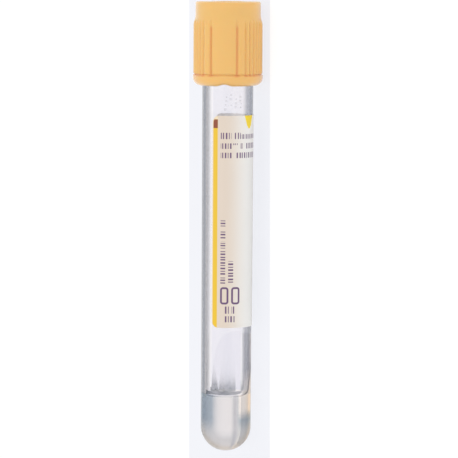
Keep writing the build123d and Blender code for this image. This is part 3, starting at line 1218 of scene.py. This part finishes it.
    def inner_section(self) -> Array:
        """The section from the ring's upper edge over the roof, down the port and the hollow to the lip."""
        bend, top = self.top_rounding, self.top
        port, port_bend, roof = self.port_radius, self.port_rounding, self.top - self.roof
        cavity, bead = self.cavity_radius, self.cavity_radius - self.bead_depth
        bead_foot, lip_top = self.seat - self.bead_height, self.foot + self.lip_height
        return joined(
            arc((self.ring_radius - bend, top - bend), bend, 0, 90, 10)[1:],
            runs((self.ring_radius - bend, top), (port + port_bend, top, 8)),
            arc((port + port_bend, top - port_bend), port_bend, 90, 180, 8),
            runs(
                (port, top - port_bend),
                (port, roof, 5),
                (cavity, roof, 8),
                (cavity, self.seat, 6),
                (bead, self.seat, 3),
                (bead, bead_foot, 2),
                (cavity, bead_foot - self.bead_depth, 4),
                (cavity, lip_top + cavity - self.lip_radius, 12),
                (self.lip_radius, lip_top, 4),
                (self.lip_radius, self.foot + self.lip_chamfer, 6),
            ),
        )

    def build(self) -> None:
        """Builds the shield as a closed grid of sides by steps round its section, and fits it.

        The section runs up the outside, over the roof, down the port, out under the roof, down the
        hollow over the bead and the lip, and round the collar's foot. Each arch lifts the foot by
        rise * (1 + cos) / 2 over its width, and the lift dies out up the collar.
        """
        side = np.arange(self.sides) * 360 / self.sides
        collar_top = self.foot + self.collar_height
        grip_foot = collar_top + self.groove_height
        shoulder_top = self.shoulder_foot + self.shoulder_height
        collar = self.collar()
        up = np.concatenate([
            np.linspace(grip_foot, self.shoulder_foot, 24),
            self.shoulder_foot + self.shoulder_height * np.linspace(0, 1, 32)[1:],
            np.linspace(shoulder_top, self.top - self.top_rounding, 6)[1:],
        ])

        def whole(line: Array) -> tuple[Array, Array]:
            """A stretch that is the same on every side, as grids of radius and height."""
            return np.repeat(line[:, :1], self.sides, axis=1), np.repeat(line[:, 1:], self.sides, axis=1)

        lobed = self.outer_radius(side[None, :], up[:, None])
        foot_of_grip = np.minimum(lobed[:1], self.crest_radius - self.groove_depth)
        stretches = [
            whole(collar),
            (foot_of_grip, np.full((1, self.sides), collar_top)),
            (foot_of_grip, np.full((1, self.sides), grip_foot - self.groove_corner)),
            (lobed, np.repeat(up[:, None], self.sides, axis=1)),
            whole(self.inner_section()),
        ]
        radius, height = (np.concatenate(grids) for grids in zip(*stretches))
        spacing = 360 / self.arch_count
        off = (side - self.wide_lobe_side + spacing / 2) % spacing - spacing / 2
        half_arch = np.degrees(np.arcsin(self.arch_width / 2 / self.collar_radius))
        wave = (1 + np.cos(np.pi * np.clip(off / half_arch, -1, 1))) / 2
        near_foot = np.clip(1 - (height - self.foot) / self.collar_rounding, 0, 1)
        height = height + self.arch_rise * wave[None, :] * near_foot**1.5

        # painted shade: a deeper colour under the collar's ledge, in the groove and in the valleys
        hollow = np.zeros_like(radius)
        first, grip = len(collar), len(collar) + 2
        valleys = self.lobe_depth(side) / self.valley_depth
        lip = onset(height[:first], collar_top - self.lip_shade_reach, 0.5 * self.lip_shade_reach)
        hollow[:first] = lip * (self.lip_shade[0] + self.lip_shade[1] * np.sqrt(valleys))[None, :]
        hollow[first:grip] = self.groove_shade[0] + self.groove_shade[1] * np.sqrt(valleys)
        fade = onset(up, self.shoulder_foot + self.shoulder_height / 2, -self.shade_fade)
        hollow[grip : grip + len(up)] = (valleys * self.valley_shade(side))[None, :] * fade[:, None]
        uv = np.stack([hollow, (height - self.foot) / (self.top - self.foot)], axis=-1)
        points = self.axes.place(radius, side[None, :], height)
        faces = [grid_quads(len(radius), self.sides, along=True)]
        piece = mesh_object("lobed_shield", points, faces, [self.plastic()], uv=uv)
        fit(piece, Body.CLOSURE, "closure_shield")


# ---- the studio ----------------------------------------------------------------------------------


@dataclass(frozen=True)
class Softbox:
    """A square lamp that faces the tube, at a distance in metres along a direction."""

    name: str
    direction: tuple[float, float, float]
    distance: float
    size: float
    level: float  # the share of full light that it gives a surface facing it


@dataclass
class Studio:
    """A plain pale floor with one cooler strip, soft lamps, an even sky and the camera."""

    axes: TubeAxes
    floor_radius: float = 1.2  # in metres, as the strip's numbers are
    floor_steps: int = 96
    shown_colour: Colour = srgb(92, 92, 93)  # the floor's own under its glow
    strip_glow: Colour = srgb(230, 231, 236)
    floor_glow: Colour = srgb(246, 246, 246)
    strip_slant: float = 0.0704  # how far the strip drifts along X for each metre of Y
    strip_left: Pair = (-0.0369, -0.0362)
    strip_right: Pair = (0.0087, 0.0080)
    through_level: float = 1.02  # how much more of its glow the floor shows through clear stock
    sky: Colour = (0.965, 0.975, 1.0, 1.0)
    low_sky: Colour = (0.76, 0.77, 0.80, 1.0)  # as clear stock shows it
    high_sky: Colour = (1.20, 1.06, 0.90, 1.0)
    sky_change: Pair = (0.32, 0.6)  # the rise of a direction from which low sky turns into high sky
    sky_level: float = 0.93
    distance: float = 790.0
    aim_height: float = 53.2
    towards_closure: float = 5.1  # angle of the camera above the tube's own level
    aim_right: float = 0.5
    lean: float = 0.36  # how far the closure leans to the right in the frame
    focal: float = 260.8
    sensor: float = 36.0
    lamps: tuple[Softbox, ...] = (
        Softbox("over", (0.1, 0.1, 1.0), 0.9, 0.7, 0.1),
        Softbox("front", (1.0, 0.1, 0.08), 1.1, 0.6, 0.03),
    )

    @staticmethod
    def seen(wires: Wiring, through: float) -> Socket:
        """How strongly a background shows: 1 to the camera and in gloss, and a level through clear stock."""
        path = wires.node("ShaderNodeLightPath").outputs
        direct = wires.sum("MAXIMUM", path["Is Camera Ray"], path["Is Glossy Ray"])
        return wires.sum("MAXIMUM", direct, wires.sum("MULTIPLY", path["Is Transmission Ray"], through))

    def floor(self) -> None:
        """A flat disc at the height of the lowest point, as a fan round its middle."""
        step = np.arange(self.floor_steps)
        angle = step * 2 * np.pi / self.floor_steps
        ring = np.stack([np.cos(angle), np.sin(angle), 0 * angle], axis=1) * self.floor_radius
        points = np.concatenate([[[0, 0, 0]], ring])
        fan = np.stack([0 * step, 1 + step, 1 + (step + 1) % self.floor_steps], axis=1)
        material, wires, shader = PALE_FLOOR.start()
        x, y, _ = wires.split(wires.node("ShaderNodeTexCoord").outputs["Object"])
        across = wires.sum("ADD", x, wires.sum("MULTIPLY", y, self.strip_slant))
        strip = wires.sum(
            "MULTIPLY", wires.ramp(across, *self.strip_left), wires.ramp(across, *self.strip_right)
        )
        base = wires.blend(self.seen(wires, 1.0), PALE_FLOOR.colour, self.shown_colour)
        wires.feed(shader.inputs["Base Color"], base)
        wires.feed(shader.inputs["Emission Color"], wires.blend(strip, self.floor_glow, self.strip_glow))
        wires.feed(shader.inputs["Emission Strength"], self.seen(wires, self.through_level))
        mesh_object("floor", points, [fan], [material])

    def light(self) -> None:
        """The sky's even light, and the lamps.

        A lamp of power P at a distance d gives a surface that faces it P / (pi d^2), and full light is
        pi, so its power is its level times (pi d)^2.
        """
        world = bpy.data.worlds.new("even_sky")
        bpy.context.scene.world = world
        world.use_nodes = True
        wires = Wiring(world.node_tree)
        background = world.node_tree.nodes["Background"]
        towards = wires.split(wires.node("ShaderNodeTexCoord").outputs["Generated"])
        through = wires.blend(wires.ramp(towards[2], *self.sky_change), self.low_sky, self.high_sky)
        clear = wires.node("ShaderNodeLightPath").outputs["Is Transmission Ray"]
        wires.feed(background.inputs["Color"], wires.blend(clear, self.sky, through))
        shown = wires.sum("MULTIPLY", self.seen(wires, 1.0), 1 - self.sky_level)
        wires.feed(background.inputs["Strength"], wires.sum("ADD", shown, self.sky_level))
        for lamp in self.lamps:
            made = bpy.data.lights.new(lamp.name, "AREA")
            made.shape = "SQUARE"
            made.size = lamp.size
            made.energy = lamp.level * (np.pi * lamp.distance) ** 2
            holder = bpy.data.objects.new(lamp.name, made)
            away = Vector(lamp.direction).normalized()
            holder.location = away * lamp.distance
            holder.rotation_mode = "QUATERNION"
            holder.rotation_quaternion = away.to_track_quat("Z", "Y")
            holder.visible_glossy = False
            holder.visible_transmission = False
            bpy.context.scene.collection.objects.link(holder)

    def camera(self) -> None:
        """The camera: it looks down on the tube's front, with the closure at the top of the frame."""
        front, right, along = (Vector(v) for v in (self.axes.front, self.axes.right, self.axes.along))
        tilt, lean = np.radians(self.towards_closure), np.radians(self.lean)
        back = (front * np.cos(tilt) + along * np.sin(tilt)).normalized()
        level_up = (along - back * along.dot(back)).normalized()
        level_right = level_up.cross(back)
        up = level_up * np.cos(lean) - level_right * np.sin(lean)
        target = Vector(self.axes.origin) + along * self.aim_height + right * self.aim_right
        made = bpy.data.cameras.new("camera")
        made.lens, made.sensor_width = self.focal, self.sensor
        made.clip_start, made.clip_end = 0.05, 20.0
        holder = bpy.data.objects.new("camera", made)
        turn = Matrix((up.cross(back), up, back)).transposed().to_4x4()
        holder.matrix_world = Matrix.Translation((target + back * self.distance) * MM) @ turn
        bpy.context.scene.collection.objects.link(holder)
        bpy.context.scene.camera = holder

    def build(self) -> None:
        """Sets up the whole studio."""
        self.floor()
        self.light()
        self.camera()
        view = bpy.context.scene.view_settings
        view.view_transform = "Standard"


def main() -> None:
    """Builds every piece in order, then the studio."""
    logging.basicConfig(level=logging.INFO, format="%(name)s: %(message)s")
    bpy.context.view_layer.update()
    axes = TubeAxes.from_record(frame["record"])
    tube = ClearTube(axes)
    gel = SeparatorGel(axes, tube)
    tube.build(gel)
    gel.build()
    ClotActivator(axes, tube).build()
    PaperLabel(axes, tube).build()
    RubberStopper(axes, tube).build()
    MouldedShield(axes).build()
    Studio(axes).build()


if __name__ == "__main__":
    main()
